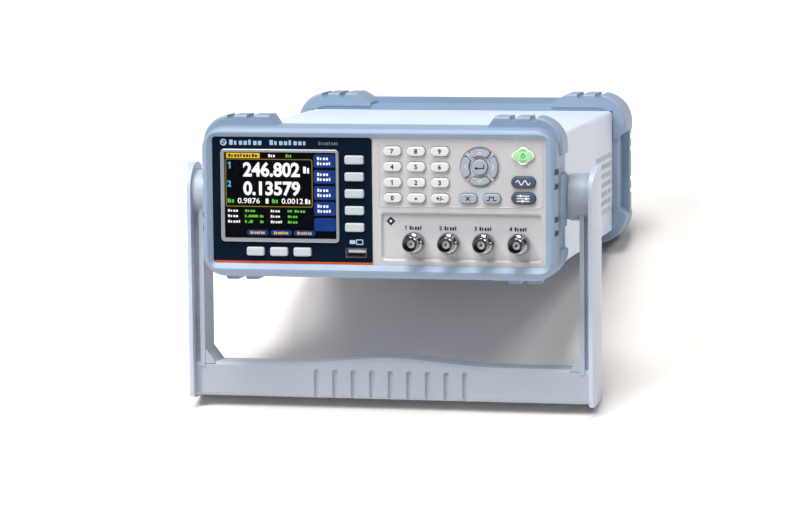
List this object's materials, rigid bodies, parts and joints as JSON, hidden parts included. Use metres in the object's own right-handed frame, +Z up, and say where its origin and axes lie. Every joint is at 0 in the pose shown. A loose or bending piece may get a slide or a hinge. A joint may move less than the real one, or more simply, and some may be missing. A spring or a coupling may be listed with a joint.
{
  "type": "lcr meter",
  "caption": "Bench component meter in a steel case with soft corner bumpers, colour screen, keypad, coaxial test jacks and a tilting carry handle.",
  "frame": {"origin": "centre of the bounding box's foot, at bench level", "axes": "+X to the user's right, +Y to the rear, +Z up; the case leans back on its handle"},
  "size_m": [0.265, 0.309, 0.1867],
  "materials": {
    "bumper_rubber": "moulded soft elastomer, fine matte grain",
    "panel_plastic": "moulded, fine spark texture",
    "navy_film": "screen-printed film, satin",
    "silver_plastic": "silver paint on plastic, satin",
    "clear_window": "clear hard-coated window",
    "screen": "liquid crystal screen",
    "silicone": "moulded silicone, matte",
    "circuit_board": "solder resist, satin",
    "plated_shell": "nickel plate",
    "socket_insulator": "moulded",
    "jack_chrome": "bright nickel plate",
    "white_insulator": "turned fluoropolymer",
    "gold_contact": "gold plate",
    "case_paint": "powder coat, fine texture, satin",
    "black_plastic": "moulded, matte",
    "handle_plastic": "moulded, fine spark texture",
    "strap_plastic": "moulded, satin",
    "screw_steel": "zinc plate",
    "white_key": "moulded key cap, satin",
    "grey_key": "moulded key cap, satin",
    "slate_key": "moulded key cap, satin",
    "side_key": "moulded key cap, satin",
    "power_key": "translucent key cap, lit from behind"
  },
  "bodies": {
    "meter": {"front_bumper": "bumper_rubber", "rear_bumper": "bumper_rubber", "front_panel": "panel_plastic", "display_overlay": "navy_film", "display_frame": "silver_plastic", "display_window": "clear_window", "lcd_module": "screen", "keypad_mat": "silicone", "key_board": "circuit_board", "usb_socket": "plated_shell", "usb_tongue": "socket_insulator", "bnc_bodies": "jack_chrome", "bnc_insulators": "white_insulator", "bnc_contacts": "gold_contact", "bnc_nuts": "jack_chrome", "top_cover": "case_paint", "bottom_chassis": "case_paint", "rear_panel": "case_paint", "main_board": "circuit_board", "power_supply": "circuit_board", "mains_inlet": "black_plastic", "rear_ports": "plated_shell", "fan_frame": "black_plastic", "pivot_bases": "handle_plastic", "pivot_screws": "screw_steel", "cover_screws": "screw_steel"},
    "handle": {"handle": "handle_plastic", "arm_covers": "strap_plastic"},
    "fan_rotor": {"fan_rotor": "black_plastic"},
    "fuse_drawer": {"fuse_drawer": "black_plastic"},
    "key_0": {"key_0": "white_key"},
    "key_1": {"key_1": "white_key"},
    "key_2": {"key_2": "white_key"},
    "key_3": {"key_3": "white_key"},
    "key_4": {"key_4": "white_key"},
    "key_5": {"key_5": "white_key"},
    "key_6": {"key_6": "white_key"},
    "key_7": {"key_7": "white_key"},
    "key_8": {"key_8": "white_key"},
    "key_9": {"key_9": "white_key"},
    "key_point": {"key_point": "white_key"},
    "key_plus_minus": {"key_plus_minus": "white_key"},
    "key_esc": {"key_esc": "grey_key"},
    "key_trigger": {"key_trigger": "grey_key"},
    "key_measure": {"key_measure": "slate_key"},
    "key_setup": {"key_setup": "slate_key"},
    "key_up": {"key_up": "grey_key"},
    "key_down": {"key_down": "grey_key"},
    "key_left": {"key_left": "grey_key"},
    "key_right": {"key_right": "grey_key"},
    "key_enter": {"key_enter": "grey_key"},
    "power_key": {"power_key": "power_key"},
    "soft_key_1": {"soft_key_1": "side_key"},
    "soft_key_2": {"soft_key_2": "side_key"},
    "soft_key_3": {"soft_key_3": "side_key"},
    "soft_key_4": {"soft_key_4": "side_key"},
    "soft_key_5": {"soft_key_5": "side_key"},
    "function_key_1": {"function_key_1": "side_key"},
    "function_key_2": {"function_key_2": "side_key"},
    "function_key_3": {"function_key_3": "side_key"}
  },
  "joints": [
    {"name": "handle_tilt", "type": "hinge", "parent": "meter", "child": "handle", "pos_m": [0, -0.09368, 0.12761], "axis": [1, 0, 0], "range_deg": [-236, 55]},
    {"name": "fan_spin", "type": "hinge", "parent": "meter", "child": "fan_rotor", "pos_m": [-0.062, 0.12153, 0.05225], "axis": [0, 0.9481, -0.318], "continuous": true},
    {"name": "fuse_drawer_slide", "type": "slide", "parent": "meter", "child": "fuse_drawer", "axis": [0, 0.9481, -0.318], "range_m": [0, 0.016]},
    {"name": "key_0_press", "type": "slide", "parent": "meter", "child": "key_0", "axis": [0, 0.9481, -0.318], "range_m": [0, 0.0008], "stiffness_N_per_m": 500},
    {"name": "key_1_press", "type": "slide", "parent": "meter", "child": "key_1", "axis": [0, 0.9481, -0.318], "range_m": [0, 0.0008], "stiffness_N_per_m": 500},
    {"name": "key_2_press", "type": "slide", "parent": "meter", "child": "key_2", "axis": [0, 0.9481, -0.318], "range_m": [0, 0.0008], "stiffness_N_per_m": 500},
    {"name": "key_3_press", "type": "slide", "parent": "meter", "child": "key_3", "axis": [0, 0.9481, -0.318], "range_m": [0, 0.0008], "stiffness_N_per_m": 500},
    {"name": "key_4_press", "type": "slide", "parent": "meter", "child": "key_4", "axis": [0, 0.9481, -0.318], "range_m": [0, 0.0008], "stiffness_N_per_m": 500},
    {"name": "key_5_press", "type": "slide", "parent": "meter", "child": "key_5", "axis": [0, 0.9481, -0.318], "range_m": [0, 0.0008], "stiffness_N_per_m": 500},
    {"name": "key_6_press", "type": "slide", "parent": "meter", "child": "key_6", "axis": [0, 0.9481, -0.318], "range_m": [0, 0.0008], "stiffness_N_per_m": 500},
    {"name": "key_7_press", "type": "slide", "parent": "meter", "child": "key_7", "axis": [0, 0.9481, -0.318], "range_m": [0, 0.0008], "stiffness_N_per_m": 500},
    {"name": "key_8_press", "type": "slide", "parent": "meter", "child": "key_8", "axis": [0, 0.9481, -0.318], "range_m": [0, 0.0008], "stiffness_N_per_m": 500},
    {"name": "key_9_press", "type": "slide", "parent": "meter", "child": "key_9", "axis": [0, 0.9481, -0.318], "range_m": [0, 0.0008], "stiffness_N_per_m": 500},
    {"name": "key_point_press", "type": "slide", "parent": "meter", "child": "key_point", "axis": [0, 0.9481, -0.318], "range_m": [0, 0.0008], "stiffness_N_per_m": 500},
    {"name": "key_plus_minus_press", "type": "slide", "parent": "meter", "child": "key_plus_minus", "axis": [0, 0.9481, -0.318], "range_m": [0, 0.0008], "stiffness_N_per_m": 500},
    {"name": "key_esc_press", "type": "slide", "parent": "meter", "child": "key_esc", "axis": [0, 0.9481, -0.318], "range_m": [0, 0.0008], "stiffness_N_per_m": 500},
    {"name": "key_trigger_press", "type": "slide", "parent": "meter", "child": "key_trigger", "axis": [0, 0.9481, -0.318], "range_m": [0, 0.0008], "stiffness_N_per_m": 500},
    {"name": "key_measure_press", "type": "slide", "parent": "meter", "child": "key_measure", "axis": [0, 0.9481, -0.318], "range_m": [0, 0.0008], "stiffness_N_per_m": 500},
    {"name": "key_setup_press", "type": "slide", "parent": "meter", "child": "key_setup", "axis": [0, 0.9481, -0.318], "range_m": [0, 0.0008], "stiffness_N_per_m": 500},
    {"name": "key_up_press", "type": "slide", "parent": "meter", "child": "key_up", "axis": [0, 0.9481, -0.318], "range_m": [0, 0.0008], "stiffness_N_per_m": 500},
    {"name": "key_down_press", "type": "slide", "parent": "meter", "child": "key_down", "axis": [0, 0.9481, -0.318], "range_m": [0, 0.0008], "stiffness_N_per_m": 500},
    {"name": "key_left_press", "type": "slide", "parent": "meter", "child": "key_left", "axis": [0, 0.9481, -0.318], "range_m": [0, 0.0008], "stiffness_N_per_m": 500},
    {"name": "key_right_press", "type": "slide", "parent": "meter", "child": "key_right", "axis": [0, 0.9481, -0.318], "range_m": [0, 0.0008], "stiffness_N_per_m": 500},
    {"name": "key_enter_press", "type": "slide", "parent": "meter", "child": "key_enter", "axis": [0, 0.9481, -0.318], "range_m": [0, 0.0008], "stiffness_N_per_m": 500},
    {"name": "power_key_press", "type": "slide", "parent": "meter", "child": "power_key", "axis": [0, 0.9481, -0.318], "range_m": [0, 0.0008], "stiffness_N_per_m": 500},
    {"name": "soft_key_1_press", "type": "slide", "parent": "meter", "child": "soft_key_1", "axis": [0, 0.9481, -0.318], "range_m": [0, 0.0008], "stiffness_N_per_m": 500},
    {"name": "soft_key_2_press", "type": "slide", "parent": "meter", "child": "soft_key_2", "axis": [0, 0.9481, -0.318], "range_m": [0, 0.0008], "stiffness_N_per_m": 500},
    {"name": "soft_key_3_press", "type": "slide", "parent": "meter", "child": "soft_key_3", "axis": [0, 0.9481, -0.318], "range_m": [0, 0.0008], "stiffness_N_per_m": 500},
    {"name": "soft_key_4_press", "type": "slide", "parent": "meter", "child": "soft_key_4", "axis": [0, 0.9481, -0.318], "range_m": [0, 0.0008], "stiffness_N_per_m": 500},
    {"name": "soft_key_5_press", "type": "slide", "parent": "meter", "child": "soft_key_5", "axis": [0, 0.9481, -0.318], "range_m": [0, 0.0008], "stiffness_N_per_m": 500},
    {"name": "function_key_1_press", "type": "slide", "parent": "meter", "child": "function_key_1", "axis": [0, 0.9481, -0.318], "range_m": [0, 0.0008], "stiffness_N_per_m": 500},
    {"name": "function_key_2_press", "type": "slide", "parent": "meter", "child": "function_key_2", "axis": [0, 0.9481, -0.318], "range_m": [0, 0.0008], "stiffness_N_per_m": 500},
    {"name": "function_key_3_press", "type": "slide", "parent": "meter", "child": "function_key_3", "axis": [0, 0.9481, -0.318], "range_m": [0, 0.0008], "stiffness_N_per_m": 500}
  ]
}
